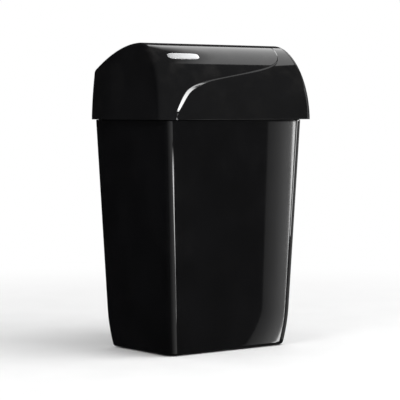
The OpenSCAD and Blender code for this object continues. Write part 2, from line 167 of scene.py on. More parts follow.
def turned_stub(
    start: Vector, axis: Vector, length: float, radius: float, edge: float, around: int = 28
) -> tuple[np.ndarray, np.ndarray]:
    """A round stub with a rounded free end.

    The outline runs from the middle of its root to the rim, along the side and over a
    quarter circle of radius edge to the middle of its end, and is turned about the axis.

    Args:
        start: Middle of the root.
        axis: Direction in which it stands, of length 1.
        length: How far it stands.
        radius: Its radius.
        edge: Radius of the rounded end.
        around: How many points go round it.

    Returns:
        Its points and its faces.
    """
    bend = np.linspace(0.0, np.pi / 2, 6)
    out = np.concatenate([[0.0, radius], radius - edge * (1 - np.cos(bend)), [0.0]])
    along = np.concatenate([[0.0, 0.0], length - edge * (1 - np.sin(bend)), [length]])
    across = axis.orthogonal().normalized()
    beside = axis.cross(across)
    turn = np.linspace(0.0, 2 * np.pi, around, endpoint=False)
    ring = np.cos(turn)[:, None] * np.array(across) + np.sin(turn)[:, None] * np.array(beside)
    points = (np.array(start) + along[:, None, None] * np.array(axis)
              + out[:, None, None] * ring[None])
    return points, grid_faces(len(out), around, closed=True)


# ---------- shader building blocks ----------


class Skin(Enum):
    """How the surface of a moulded or drawn piece is textured."""

    PEEL = "peel"
    GRAIN = "grain"
    DRAWN = "drawn"


class NodeTree:
    """A node tree with short calls for adding and joining nodes."""

    def __init__(self, tree: bpy.types.NodeTree) -> None:
        """Keep the tree.

        Args:
            tree: The tree that the nodes go into.
        """
        self.tree = tree

    def add(self, kind: str, inputs: dict | None = None, **settings: object) -> bpy.types.Node:
        """Add one node.

        Args:
            kind: The node's type name.
            inputs: For each input socket, a constant or the output that feeds it.
            settings: The node's own settings.

        Returns:
            The new node.
        """
        node = self.tree.nodes.new(kind)
        for name, value in settings.items():
            setattr(node, name, value)
        for name, value in (inputs or {}).items():
            if isinstance(value, bpy.types.NodeSocket):
                self.tree.links.new(value, node.inputs[name])
            else:
                node.inputs[name].default_value = value
        return node

    def math(self, operation: str, *values: object) -> bpy.types.NodeSocket:
        """One sum on numbers.

        Args:
            operation: The Math node's operation.
            values: Constants or outputs, one for each input.

        Returns:
            The result.
        """
        return self.add("ShaderNodeMath", dict(enumerate(values)), operation=operation).outputs[0]

    def ramp(self, value: object, low: float, high: float, first: float = 0.0,
             last: float = 1.0, smooth: bool = True) -> bpy.types.NodeSocket:
        """A value carried from one range to another, smoothly or in a straight line.

        Args:
            value: What is carried.
            low: Where the rise starts.
            high: Where it ends.
            first: The result at low.
            last: The result at high.
            smooth: Whether the ends are level.

        Returns:
            The result.
        """
        kind = "SMOOTHSTEP" if smooth else "LINEAR"
        names = {"Value": value, "From Min": low, "From Max": high, "To Min": first, "To Max": last}
        return self.add("ShaderNodeMapRange", names, interpolation_type=kind).outputs["Result"]

    def mix(self, share: object, first: object,
            second: tuple[float, float, float]) -> bpy.types.NodeSocket:
        """A colour mixed towards another one.

        Args:
            share: How far to go, from 0 to 1.
            first: The output with the colour at 0.
            second: The colour at 1.

        Returns:
            The mixed colour.
        """
        sockets = {0: share, 6: first, 7: (*second, 1.0)}
        return self.add("ShaderNodeMix", sockets, data_type="RGBA").outputs[2]


def fresh_tree(owner: bpy.types.Material | bpy.types.World) -> NodeTree:
    """Give a material or a world an empty node tree.

    Args:
        owner: What the tree belongs to.

    Returns:
        The tree's builder.
    """
    owner.use_nodes = True
    owner.node_tree.nodes.clear()
    return NodeTree(owner.node_tree)


def new_group(name: str, inputs: dict[str, float], outputs: dict[str, str]) -> tuple[
        NodeTree, bpy.types.Node, bpy.types.Node]:
    """Start a shader node group with named sockets.

    Args:
        name: The group's name.
        inputs: Each number it takes, with its usual value.
        outputs: Each result, with its socket type.

    Returns:
        The group's builder, its input node and its output node.
    """
    group = bpy.data.node_groups.new(name, "ShaderNodeTree")
    group.interface.new_socket("Vector", in_out="INPUT", socket_type="NodeSocketVector")
    for label, usual in inputs.items():
        socket = group.interface.new_socket(label, in_out="INPUT", socket_type="NodeSocketFloat")
        socket.default_value = usual
    for label, kind in outputs.items():
        group.interface.new_socket(label, in_out="OUTPUT", socket_type=kind)
    build = NodeTree(group)
    return build, build.add("NodeGroupInput"), build.add("NodeGroupOutput")


def scratch_group() -> bpy.types.NodeTree:
    """Fine scratches: thin bends of stretched noise, in three directions.

    Returns:
        A group that gives a mask which is 1 on a scratch and 0 elsewhere.
    """
    build, given, result = new_group(
        "micro_scratches", {"Scale": 60.0, "Width": 0.006}, {"Mask": "NodeSocketFloat"})
    total: bpy.types.NodeSocket | None = None
    turns, stretch = ((0.3, 0.5, 0.2), (1.1, 0.2, 1.3), (0.7, 1.4, 2.3)), (1.0, 0.12, 1.0)
    for turn in turns:
        placed = build.add("ShaderNodeMapping", {"Vector": given.outputs["Vector"],
                                                 "Rotation": turn, "Scale": stretch})
        noise = build.add("ShaderNodeTexNoise", {
            "Vector": placed.outputs[0], "Scale": given.outputs["Scale"], "Detail": 1.0})
        away = build.math("ABSOLUTE", build.math("SUBTRACT", noise.outputs[0], 0.5))
        line = build.math("LESS_THAN", away, given.outputs["Width"])
        total = line if total is None else build.math("MAXIMUM", total, line)
    patches = build.add("ShaderNodeTexNoise", {"Vector": given.outputs["Vector"], "Scale": 18.0})
    kept = build.ramp(patches.outputs[0], 0.5, 0.66)
    build.tree.links.new(build.math("MULTIPLY", total, kept), result.inputs["Mask"])
    return build.tree


def dust_group() -> bpy.types.NodeTree:
    """Settled dust: small specks and a thin film, mostly on what faces up.

    Returns:
        A group that gives a mask from 0, clean, to 1, dusty.
    """
    build, given, result = new_group(
        "settled_dust", {"Amount": 0.5}, {"Mask": "NodeSocketFloat"})
    specks = build.add("ShaderNodeTexVoronoi", {"Vector": given.outputs["Vector"], "Scale": 420.0})
    speck = build.ramp(specks.outputs["Distance"], 0.16, 0.05)
    cloud = build.add("ShaderNodeTexNoise", {
        "Vector": given.outputs["Vector"], "Scale": 26.0, "Detail": 6.0})
    near = build.ramp(cloud.outputs[0], 0.48, 0.72)
    normal = build.add("ShaderNodeNewGeometry").outputs["Normal"]
    up = build.add("ShaderNodeSeparateXYZ", {"Vector": normal}).outputs["Z"]
    facing = build.ramp(up, 0.1, 0.95, 0.12, 1.0)
    film = build.math("MULTIPLY", near, 0.3)
    mix = build.math("MAXIMUM", build.math("MULTIPLY", speck, near), film)
    amount = build.math("MULTIPLY", build.math("MULTIPLY", mix, facing), given.outputs["Amount"])
    build.tree.links.new(amount, result.inputs["Mask"])
    return build.tree


def skin_group(skin: Skin) -> bpy.types.NodeTree:
    """Relief that a mould or a drawing die leaves on a piece.

    Args:
        skin: Which relief: low waves, a fine leathery grain, or lines along X.

    Returns:
        A group that gives a height from 0 to 1 and a slow cloud that varies the gloss.
    """
    build, given, result = new_group(
        "moulded_" + skin.value, {"Scale": 200.0},
        {"Height": "NodeSocketFloat", "Cloud": "NodeSocketFloat"})
    place, scale = given.outputs["Vector"], given.outputs["Scale"]
    if skin is Skin.GRAIN:
        cells = build.add("ShaderNodeTexVoronoi", {"Vector": place, "Scale": scale},
                          feature="SMOOTH_F1")
        fine = build.add("ShaderNodeTexNoise", {"Vector": place, "Scale": scale, "Detail": 5.0})
        height = build.math("ADD", cells.outputs["Distance"],
                            build.math("MULTIPLY", fine.outputs[0], 0.5))
    elif skin is Skin.DRAWN:
        long = build.add("ShaderNodeMapping", {"Vector": place, "Scale": (0.02, 1.0, 1.0)})
        lines = build.add("ShaderNodeTexNoise", {
            "Vector": long.outputs[0], "Scale": scale, "Detail": 4.0})
        height = lines.outputs[0]
    else:
        waves = build.add("ShaderNodeTexNoise", {"Vector": place, "Scale": scale, "Detail": 1.5})
        height = waves.outputs[0]
    cloud = build.add("ShaderNodeTexNoise", {"Vector": place, "Scale": 9.0, "Detail": 4.0})
    build.tree.links.new(height, result.inputs["Height"])
    build.tree.links.new(cloud.outputs[0], result.inputs["Cloud"])
    return build.tree


class Effects:
    """The shared shader groups, each built the first time that it is wanted."""

    def __init__(self) -> None:
        """Start with no group built."""
        self.built: dict[str, bpy.types.NodeTree] = {}

    def get(self, name: str) -> bpy.types.NodeTree:
        """Give one group.

        Args:
            name: scratches, dust, or the value of a Skin.

        Returns:
            The group.
        """
        if name not in self.built:
            makers = {"scratches": scratch_group, "dust": dust_group}
            self.built[name] = makers[name]() if name in makers else skin_group(Skin(name))
        return self.built[name]


EFFECTS = Effects()


# ---------- finishes ----------


@dataclass(frozen=True)
class Finish:
    """A finish with its own colour, gloss and relief; wear and dust are laid over it."""

    name: str
    colour: tuple[float, float, float]
    roughness: float
    skin: Skin
    skin_scale: float
    skin_height: float
    metallic: float = 0.0
    gloss_spread: float = 0.05
    scratch_scale: float = 60.0
    scratch_width: float = 0.006
    scratch_gloss: float = 0.12
    scratch_tint: float = 0.01
    dust: float = 0.4
    dust_colour: tuple[float, float, float] = (0.16, 0.15, 0.14)
    dust_gloss: float = 0.5
    colour_spread: float = 0.25

    def material(self) -> bpy.types.Material:
        """Build the finish as a material on Object coordinates.

        The gloss follows a slow cloud, and rises on scratches and dust. The colour is
        darkened and lightened by the cloud, and moves towards dust where dust lies.

        Returns:
            The material.
        """
        made = bpy.data.materials.new(self.name)
        build = fresh_tree(made)
        place = build.add("ShaderNodeTexCoord").outputs["Object"]
        skin = build.add("ShaderNodeGroup", {"Vector": place, "Scale": self.skin_scale},
                         node_tree=EFFECTS.get(self.skin.value))
        scratch = build.add("ShaderNodeGroup", {
            "Vector": place, "Scale": self.scratch_scale, "Width": self.scratch_width},
            node_tree=EFFECTS.get("scratches"))
        dust = build.add("ShaderNodeGroup", {"Vector": place, "Amount": self.dust},
                         node_tree=EFFECTS.get("dust"))
        shade = build.ramp(skin.outputs["Cloud"], 0.3, 0.7,
                           1.0 - self.colour_spread, 1.0 + self.colour_spread)
        base = build.add("ShaderNodeVectorMath", {0: self.colour, "Scale": shade},
                         operation="SCALE").outputs[0]
        scratched = build.mix(scratch.outputs["Mask"], base,
                              tuple(c + self.scratch_tint for c in self.colour))
        colour = build.mix(dust.outputs["Mask"], scratched, self.dust_colour)
        gloss = build.ramp(skin.outputs["Cloud"], 0.35, 0.65, self.roughness,
                           self.roughness + self.gloss_spread)
        worn = build.math("MULTIPLY_ADD", scratch.outputs["Mask"], self.scratch_gloss, gloss)
        dusty = build.math("MULTIPLY_ADD", dust.outputs["Mask"], self.dust_gloss, worn)
        bump = build.add("ShaderNodeBump", {"Height": skin.outputs["Height"],
                                            "Distance": self.skin_height, "Strength": 1.0})
        surface = build.add("ShaderNodeBsdfPrincipled", {
            "Base Color": colour, "Roughness": dusty, "Metallic": self.metallic,
            "Normal": bump.outputs[0]})
        build.add("ShaderNodeOutputMaterial", {"Surface": surface.outputs[0]})
        return made


GLOSS_BUCKET = Finish("gloss_black_bucket", (0.0022, 0.0022, 0.0025), 0.035, Skin.PEEL, 120.0,
                      2.5e-6, gloss_spread=0.012, scratch_gloss=0.05, scratch_tint=0.002,
                      scratch_width=0.003, dust=0.12)
GLOSS_HOOD = Finish("gloss_black_hood", (0.0026, 0.0026, 0.0029), 0.045, Skin.PEEL, 110.0,
                    3e-6, gloss_spread=0.015, scratch_gloss=0.06, scratch_tint=0.002,
                    scratch_width=0.003, dust=0.2)
GRAINED_PANEL = Finish("grained_black_panel", (0.012, 0.012, 0.0125), 0.42, Skin.GRAIN, 900.0,
                       4e-5, dust=0.35)
SATIN_RING = Finish("satin_grey_ring", (0.03, 0.031, 0.033), 0.3, Skin.GRAIN, 700.0, 1.5e-5,
                    dust=0.3)
BEARING = Finish("bearing_plastic", (0.62, 0.58, 0.48), 0.38, Skin.GRAIN, 800.0, 1e-5, dust=0.1,
                 colour_spread=0.06)
RUBBER = Finish("matt_rubber", (0.018, 0.018, 0.018), 0.72, Skin.GRAIN, 1500.0, 6e-5, dust=0.6)
DRAWN_STEEL = Finish("drawn_steel", (0.56, 0.57, 0.58), 0.22, Skin.DRAWN, 1800.0, 1.2e-5,
                     metallic=1.0, dust=0.1, colour_spread=0.08)
ZINC_STEEL = Finish("zinc_plated_steel", (0.66, 0.66, 0.62), 0.3, Skin.GRAIN, 1400.0, 1.5e-5,
                    metallic=1.0, dust=0.1, colour_spread=0.12)
SATIN_PLATE = Finish("satin_plate", (0.74, 0.75, 0.76), 0.26, Skin.DRAWN, 2600.0, 8e-6,
                     metallic=0.7, dust=0.08, colour_spread=0.05)
PALE_FLOOR = Finish("pale_floor", (0.86, 0.86, 0.86), 0.6, Skin.GRAIN, 90.0, 1e-4, dust=0.0,
                    colour_spread=0.01, scratch_tint=0.0)


# ---------- bucket ----------


@dataclass
class Bucket:
    """The tapered bucket: one closed shell with a stepped neck, bosses and a rounded rim."""

    wall: float = 0.003
    floor: float = 0.003
    side_draft: float = 0.05
    front_draft: float = 0.033
    rear_draft: float = 0.03
    flare_in: float = 0.0055
    flare_height: float = 0.072
    foot_edge: float = 0.004
    front_corner: float = 0.018
    rear_corner: float = 0.006
    neck_in: float = 0.004
    neck_front_in: float = 0.009
    neck_corner: float = 0.010
    shoulder_drop: float = 0.0008
    shoulder_rise: float = 0.0018
    shoulder_edge: float = 0.0009
    least_corner: float = 0.0015
    hold: float = 0.002
    near_hold: float = 0.0004
    seat_gap: float = 0.0003
    stem_reach: float = 0.003
    boss_radius: float = 0.007
    boss_height: float = 0.003
    boss_edge: float = 0.0008
    boss_root: float = 0.001
    screw_boss_radius: float = 0.005
    screw_boss_length: float = 0.008
    screw_head_radius: float = 0.0036
    inner_screws: float = 0.375
    bend_rows: int = 9
    rim_rows: int = 15
    wall_rows: int = 40
    flare_rows: int = 26
    inner_flare_rows: int = 18
    flare_start: float = 0.04
    finish: Finish = GLOSS_BUCKET
    low: Vector = field(default_factory=lambda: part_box("bin_body")[0])
    high: Vector = field(default_factory=lambda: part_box("bin_body")[1])

    def __post_init__(self) -> None:
        """Take the frame's own places: lid edge, wall plane, back seat and front."""
        self.edge_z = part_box("lid_hood")[0].z
        self.half, self.front, self.back = self.high.x, self.low.y, self.high.y
        self.seat = self._panel_face() - self.seat_gap

    def _panel_face(self) -> float:
        """Front face of the back panel's plate, which the buffers' stems end behind."""
        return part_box("buffer_left")[1].y - self.stem_reach

    def _flare(self, z: np.ndarray) -> np.ndarray:
        """Inward pull of the foot: it grows as a square from the flare's top to the floor."""
        return self.flare_in * np.maximum(0.0, (self.flare_height - z) / self.flare_height) ** 2

    def _body(self, z: np.ndarray, inset: np.ndarray) -> np.ndarray:
        """Outline sizes of the tapered body at heights z, moved inwards.

        Args:
            z: Heights.
            inset: How far each outline is moved inwards.

        Returns:
            For each height: half width, front, back, front corner, rear corner.
        """
        down, flare = self.edge_z - z, self._flare(z)
        return np.stack([
            self.half - self.side_draft * down - flare - inset,
            self.front + self.front_draft * down + flare + inset,
            self.back - self.rear_draft * down - flare - inset,
            np.maximum(self.least_corner, self.front_corner - inset),
            np.maximum(self.least_corner, self.rear_corner - inset)], axis=1)

    def _neck(self, inset: np.ndarray) -> np.ndarray:
        """Outline sizes of the neck inside the hood, in the same order as the body's."""
        corner = self.neck_corner - inset
        return np.stack([
            self.half - self.neck_in - inset, self.front + self.neck_front_in + inset,
            self.seat - inset, corner, corner], axis=1)

    @staticmethod
    def _loops(sizes: np.ndarray, z: np.ndarray, arc: int = 26, flat: int = 18) -> np.ndarray:
        """Closed outlines: four quarter circles joined by straight stretches.

        Each quarter circle turns about its own corner's middle, and each straight stretch
        goes from the end of one quarter to the start of the next.

        Args:
            sizes: Half width, front, back and the two corner radii, a line per height.
            z: The heights.
            arc: Steps in each quarter circle.
            flat: Steps in each straight stretch.

        Returns:
            Points by height and by place round the outline.
        """
        half, front, back, front_r, rear_r = (sizes[:, i, None] for i in range(5))
        turn = np.linspace(0.0, np.pi / 2, arc + 1)[None, :]
        arcs = []
        for start, side, at_front in ((0, 1, 0), (1, -1, 0), (2, -1, 1), (3, 1, 1)):
            r = front_r if at_front else rear_r
            middle_y = front + r if at_front else back - r
            angle = turn + start * np.pi / 2
            arcs.append((side * (half - r) + r * np.cos(angle), middle_y + r * np.sin(angle)))
        share = crowded(flat)[None, 1:-1]
        xs, ys = [], []
        for i, (x, y) in enumerate(arcs):
            next_x, next_y = arcs[(i + 1) % 4]
            xs += [x, x[:, -1:] * (1 - share) + next_x[:, :1] * share]
            ys += [y, y[:, -1:] * (1 - share) + next_y[:, :1] * share]
        x, y = np.concatenate(xs, axis=1), np.concatenate(ys, axis=1)
        return np.stack([x, y, np.broadcast_to(z[:, None], x.shape)], axis=2)

    def _levels(self) -> np.ndarray:
        """Outlines from the underside, up the outside, over the rim and down the inside.

        The foot's edge, the shoulder and the rim are quarter and half circles in section:
        the inset and the height follow the sine and cosine of a growing angle. Rows a short
        hold away from the shoulder keep its bend tight.

        Returns:
            All loops of the shell, from the underside to the floor inside.
        """
        bend = np.linspace(0.0, np.pi / 2, self.bend_rows)
        foot, edge, rim_r = self.low.z, self.shoulder_edge, self.wall / 2
        shoulder = self.edge_z - self.shoulder_drop
        rise = crowded(self.wall_rows)
        loops = []

        def body(z: np.ndarray, inset: np.ndarray | float) -> None:
            """Add body outlines."""
            loops.append(self._loops(self._body(z, inset + 0 * z), z))

        def neck(z: np.ndarray, inset: np.ndarray | float) -> None:
            """Add neck outlines."""
            loops.append(self._loops(self._neck(inset + 0 * z), z))

        r = self.foot_edge
        body(foot + r * (1 - np.cos(bend)), r * (1 - np.sin(bend)))
        share = np.linspace(self.flare_start, 1.0, self.flare_rows)
        body(foot + r + (self.flare_height - foot - r) * share, 0.0)
        body(self.flare_height + (shoulder - edge - self.flare_height) * rise[1:], 0.0)
        body(shoulder - edge * (1 - np.sin(bend[1:])), edge * (1 - np.cos(bend[1:])))
        over = shoulder + self.shoulder_rise
        neck(np.array([over, over + self.near_hold, over + self.hold]), 0.0)
        full = np.linspace(0.0, np.pi, self.rim_rows)
        neck(self.high.z - rim_r + rim_r * np.sin(full), rim_r * (1 - np.cos(full)))
        neck(np.array([over - self.wall + self.hold, over - self.wall]), self.wall)
        inner_top = shoulder - self.wall
        body(np.array([inner_top, inner_top - self.hold]), self.wall)
        inner_run = inner_top - 2 * self.hold - self.flare_height
        body(self.flare_height + inner_run * rise[::-2], self.wall)
        floor = foot + self.floor
        share = np.linspace(1.0 - self.flare_start, 0.0, self.inner_flare_rows)
        body(floor + r + (self.flare_height - floor - r) * share, self.wall)
        down = bend[::-1]
        body(floor + r * (1 - np.cos(down[1:])), self.wall + r * (1 - np.sin(down[1:])))
        return np.concatenate(loops)

    @staticmethod
    def _cap(loop: np.ndarray) -> np.ndarray:
        """Flat cap as loops that shrink to the middle: each point goes straight inwards.

        Args:
            loop: The cap's outline.

        Returns:
            Points by loop and by place round the outline.
        """
        middle = loop.mean(axis=0)
        share = np.array([1.0, 0.97, 0.75, 0.4, 0.0])[:, None, None]
        return middle + (loop - middle)[None] * share

    def _bosses(self, parts: MeshParts) -> None:
        """Add the bosses over the feet and those that the panel's screws go into.

        Args:
            parts: The bucket's mesh parts.
        """
        stubs = []
        for name in ("front_left", "front_right", "rear_left", "rear_right"):
            low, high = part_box("foot_" + name)
            root = Vector(((low.x + high.x) / 2, (low.y + high.y) / 2,
                           self.low.z + self.floor - self.boss_root))
            stubs.append((root, Vector((0, 0, 1)), self.boss_height, self.boss_radius))
        low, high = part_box("panel_screws")
        outer = high.x - self.screw_head_radius
        for share in (-1.0, -self.inner_screws, self.inner_screws, 1.0):
            root = Vector((outer * share, self.seat - self.wall + self.boss_root,
                           (low.z + high.z) / 2))
            stubs.append((root, Vector((0, -1, 0)), self.screw_boss_length,
                          self.screw_boss_radius))
        for root, axis, length, radius in stubs:
            parts.add(*turned_stub(root, axis, length + self.boss_root, radius, self.boss_edge))

    def build(self) -> bpy.types.Object:
        """Make the bucket.

        Returns:
            The piece, which stands for the node bin_body.
        """
        parts = MeshParts()
        loops = self._levels()
        count = loops.shape[1]
        parts.add(loops, grid_faces(len(loops), count, closed=True))
        under, inside = self._cap(loops[0]), self._cap(loops[-1])
        parts.add(under, grid_faces(len(under), count, closed=True), flip=True)
        parts.add(inside, grid_faces(len(inside), count, closed=True))
        self._bosses(parts)
        piece = parts.build("bucket_shell")
        piece.data.materials.append(self.finish.material())
        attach(piece, "bin")
        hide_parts("bin_body")
        return piece


# ---------- hood ----------


@dataclass
class Hood:
    """The hinged hood: a walled sheet with an S-shaped step and a scoop beside it."""

    wall: float = 0.0025
    lean: float = 0.0145
    ridge_y: float = -0.0255
    corner: float = 0.009
    rear_corner: float = 0.0012
    step: float = 0.0032
    step_round: float = 0.0008
    step_depth: float = 0.0011
    foot_depth: float = 0.0017
    bulge: float = 0.0072
    bulge_depth: float = 0.0025
    bulge_low: float = 0.05
    bulge_high: float = 0.5
    narrow_low: float = 0.2
    narrow_span: float = 0.2
    tuck: float = 0.0075
    tuck_top: float = 0.34
    tuck_span: float = 0.22
    scoop_length: float = 0.075
    curve_half: float = 0.134
    curve_middle: float = 0.585
    curve_soft: float = 0.155
    low_power: float = 2.2
    high_power: float = 3.0
    least_corner: float = 0.0006
    roll: float = 0.009
    lip: float = 0.0005
    edge_hold: float = 0.0015
    boss_radius: float = 0.005
    boss_edge: float = 0.0004
    boss_gap: float = 0.00025
    boss_places: tuple[tuple[float, float], ...] = ((0.024, 0.012), (0.056, 0.006))
    front_rows: int = 120
    roof_rows: int = 18
    roll_rows: int = 10
    lip_rows: int = 7
    side_columns: int = 15
    corner_columns: int = 13
    left_columns: int = 27
    step_columns: int = 15
    right_columns: int = 44
    finish: Finish = GLOSS_HOOD
    low: Vector = field(default_factory=lambda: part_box("lid_hood")[0])
    high: Vector = field(default_factory=lambda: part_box("lid_hood")[1])

    def __post_init__(self) -> None:
        """Take the hinge axis from the frame and find where the roof meets the roll."""
        hinge = next(j for j in frame["joints"] if j["name"] == "hood_hinge")
        self.hinge_y, self.hinge_z = hinge["pos_m"][1], hinge["pos_m"][2]
        self.height = self.high.z - self.low.z
        self.half = self.high.x
        drop = self.high.z - self.hinge_z
        # From a first guess, the angle where the roof's slope runs into the roll soon settles.
        angle, rounds = math.radians(53.0), 6
        for _ in range(rounds):
            slope = 2 * (drop - self.roll * math.sin(angle)) / (
                self.hinge_y + self.roll * math.cos(angle) - self.ridge_y)
            angle = math.pi / 2 - math.atan(slope)
        self.roll_angle = angle

    def half_at(self, z: np.ndarray) -> np.ndarray:
        """Half width at height z: a quarter of the lean is straight, the rest a power of 2.2."""
        t = np.clip((z - self.low.z) / self.height, 0.0, 1.0)
        return self.half - self.lean * (0.25 * t + 0.75 * t ** 2.2)

    def front_profile(self, angle: np.ndarray, inset: float) -> np.ndarray:
        """Quarter ellipse from the lower front edge up to the ridge.

        Args:
            angle: The ellipse's own angle, from 0 at the edge to a right angle at the ridge.
            inset: How far the profile is moved inwards.

        Returns:
            For each angle: y, z, and the y and z of the outward normal.
        """
        run, rise = self.ridge_y - self.low.y - inset, self.height - inset
        dy, dz = run * np.sin(angle), rise * np.cos(angle)
        size = np.hypot(dy, dz)
        return np.stack([self.low.y + inset + run * (1 - np.cos(angle)),
                         self.low.z + rise * np.sin(angle), -dz / size, dy / size], axis=1)

    def _profile(self, inset: float) -> tuple[np.ndarray, np.ndarray, np.ndarray]:
        """The whole section: ellipse, a parabola behind the ridge, and a roll at the rear.

        Args:
            inset: How far the section is moved inwards.

        Returns:
            Its points with normals, the height share of the S-shaped line, and the share
            of the way along the roof.
        """
        angle = np.linspace(0.0, np.pi / 2, self.front_rows + 1)
        angle = np.insert(angle, 1, (self.edge_hold, 3 * self.edge_hold))
        front = self.front_profile(angle, inset)
        r = self.roll - inset
        end_y = self.hinge_y + r * math.cos(self.roll_angle)
        end_z = self.hinge_z + r * math.sin(self.roll_angle)
        run = (end_y - self.ridge_y) * np.linspace(0.0, 1.0, self.roof_rows + 1)[1:]
        bend = (self.high.z - inset - end_z) / (end_y - self.ridge_y) ** 2
        size = np.hypot(2 * bend * run, 1.0)
        roof = np.stack([self.ridge_y + run, self.high.z - inset - bend * run ** 2,
                         2 * bend * run / size, 1 / size], axis=1)
        turn = self.roll_angle * (1 - np.linspace(0.0, 1.0, self.roll_rows + 1)[1:])
        roll = np.stack([self.hinge_y + r * np.cos(turn), self.hinge_z + r * np.sin(turn),
                         np.cos(turn), np.sin(turn)], axis=1)
        height = np.concatenate([np.sin(angle), np.ones(self.roof_rows + self.roll_rows)])
        back = np.concatenate([np.zeros(len(angle)),
                               run / (end_y - self.ridge_y), np.ones(self.roll_rows)])
        return np.concatenate([front, roof, roll]), height, back

    def _place(self, t: np.ndarray) -> np.ndarray:
        """Where the S-shaped line stands: a soft ramp across the hood, steepest in its middle.

        With q the distance from the middle in units of its softness, the line stands at
        curve_half times q over the n-th root of one plus q to the n, with its own n below
        and above the middle. Its foot is tucked outwards by a power of 1.5.

        Args:
            t: Share of the hood's height.

        Returns:
            The line's place across the hood.
        """
        q = (t - self.curve_middle) / self.curve_soft
        n = np.where(q < 0, self.low_power, self.high_power)
        low = np.clip((self.tuck_top - t) / self.tuck_span, 0.0, 1.0)
        return self.curve_half * q / (1 + np.abs(q) ** n) ** (1 / n) - self.tuck * low ** 1.5

    def _line(self, t: np.ndarray) -> tuple[np.ndarray, np.ndarray]:
        """The S-shaped line and how far it runs.

        Args:
            t: Share of the hood's height.

        Returns:
            The line's place across the hood, and its length per unit of height.
        """
        near = 1e-4
        slope = (self._place(t + near) - self._place(t - near)) / (2 * near * self.height)
        return self._place(t), np.hypot(1.0, slope)

    def _step(self, t: np.ndarray) -> tuple[np.ndarray, np.ndarray]:
        """Width and depth of the step: narrow, with a bulge on the line's lower bend.

        The bulge is half a wave of a sine between bulge_low and bulge_high.

        Args:
            t: Share of the hood's height.

        Returns:
            The step's width and its depth.
        """
        share = np.clip((t - self.bulge_low) / (self.bulge_high - self.bulge_low), 0.0, 1.0)
        swell = np.sin(np.pi * share)
        narrow = self.foot_depth + (self.step_depth - self.foot_depth) * np.clip(
            (t - self.narrow_low) / self.narrow_span, 0.0, 1.0)
        return self.step + self.bulge * swell, narrow + self.bulge_depth * swell

    def _sink(self, s: np.ndarray, t: np.ndarray) -> np.ndarray:
        """Depth beyond the line: a straight step with rounded ends, then a fading scoop.

        Args:
            s: Distance beyond the line, square to it.
            t: Share of the hood's height.

        Returns:
            Depth along the inward normal, nothing before the line and at the ridge.
        """
        r = self.step_round
        w, depth = self._step(t)
        steep = 1.0 / (w - r)
        start = 0.5 * steep * np.clip(s, 0, r) ** 2 / r
        middle = steep * np.clip(s - r, 0, w - 2 * r)
        left = np.clip(s - (w - r), 0, r)
        end = steep * (left - 0.5 * left ** 2 / r)
        fade = np.maximum(0.0, 1 - np.maximum(0.0, s - w) / self.scoop_length) ** 2
        return depth * (1 - t ** 8) * (start + middle + end) * fade

    def _sheet(self, inset: float) -> np.ndarray:
        """The grid of one side of the wall, row after row up the section.

        Each row runs from the left side's rear foot over the side wall, a rounded corner,
        the front or roof, and the other corner to the right side's rear foot. Its points
        crowd towards the S-shaped line by a power, and beyond it by a cosine and a power.

        Args:
            inset: Depth below the outside.

        Returns:
            Points by row and by place across.
        """
        section, t, back = self._profile(inset)
        y, z, ny, nz = (section[:, i, None] for i in range(4))
        t = t[:, None]
        radius = self.corner + (self.rear_corner - self.corner) * back[:, None] ** 2
        r = np.maximum(self.least_corner, radius - inset)
        edge = self.half_at(z) - inset - r
        foot_y, foot_z = y - ny * r, z - nz * r
        share = np.linspace(0.0, 1.0, self.side_columns)[None, :]
        side_y = self.high.y + share * (foot_y - self.high.y)
        side_z = self.low.z + share * (foot_z - self.low.z)
        side_x = self.half_at(side_z) - inset
        turn = np.linspace(np.pi / 2, 0.0, self.corner_columns)[None, 1:]
        fall = r * (1 - np.cos(turn))
        corner_y, corner_z = y - ny * fall, z - nz * fall
        corner_x = self.half_at(corner_z) - inset - r + r * np.sin(turn)
        line, stretch = self._line(t)
        left_share = np.linspace(0, 1, self.left_columns)[None, 1:]
        left = -edge + (line + edge) * (1 - (1 - left_share) ** 2.2)
        wide = np.minimum(self._step(t)[0] * stretch, (edge - line) / 2)
        step = line + wide * np.linspace(0, 1, self.step_columns)[None, 1:]
        spread = np.linspace(0, 1, self.right_columns + 1)[None, 1:-1]
        right = line + wide + (edge - line - wide) * (
            0.6 * crowded(self.right_columns)[None, 1:-1] + 0.4 * spread ** 1.3)
        flat_x = np.concatenate([left, step, right], axis=1)
        sink = self._sink((flat_x - line) / stretch, t)
        flat_y, flat_z = y - ny * sink, z - nz * sink
        flip = slice(None, None, -1)
        x = [-side_x, -corner_x, flat_x, corner_x[:, flip], side_x[:, flip]]
        yy = [side_y, corner_y, flat_y, corner_y[:, flip], side_y[:, flip]]
        zz = [side_z, corner_z, flat_z, corner_z[:, flip], side_z[:, flip]]
        return np.stack([np.concatenate(v, axis=1) for v in (x, yy, zz)], axis=2)

    def _lips(self, outer: np.ndarray, inner: np.ndarray) -> list[np.ndarray]:
        """Rounded edges between the two sheets, along the lower edge and the open back.

        Each goes from the outer to the inner edge by the cosine of an angle, and bulges out
        by its sine, up to the place that the sheets were drawn back from.

        Args:
            outer: The outer sheet, already drawn back at its edges.
            inner: The inner sheet, already drawn back at its edges.

        Returns:
            The grid of each lip.
        """
        angle = np.linspace(0.0, np.pi, self.lip_rows)[:, None, None]
        lips = []
        for row, out in ((0, (0.0, 0.0, -self.lip)), (-1, (0.0, self.lip, 0.0))):
            a, b = outer[row][None], inner[row][None]
            lips.append((a + b) / 2 + (a - b) / 2 * np.cos(angle) + np.array(out) * np.sin(angle))
        return lips

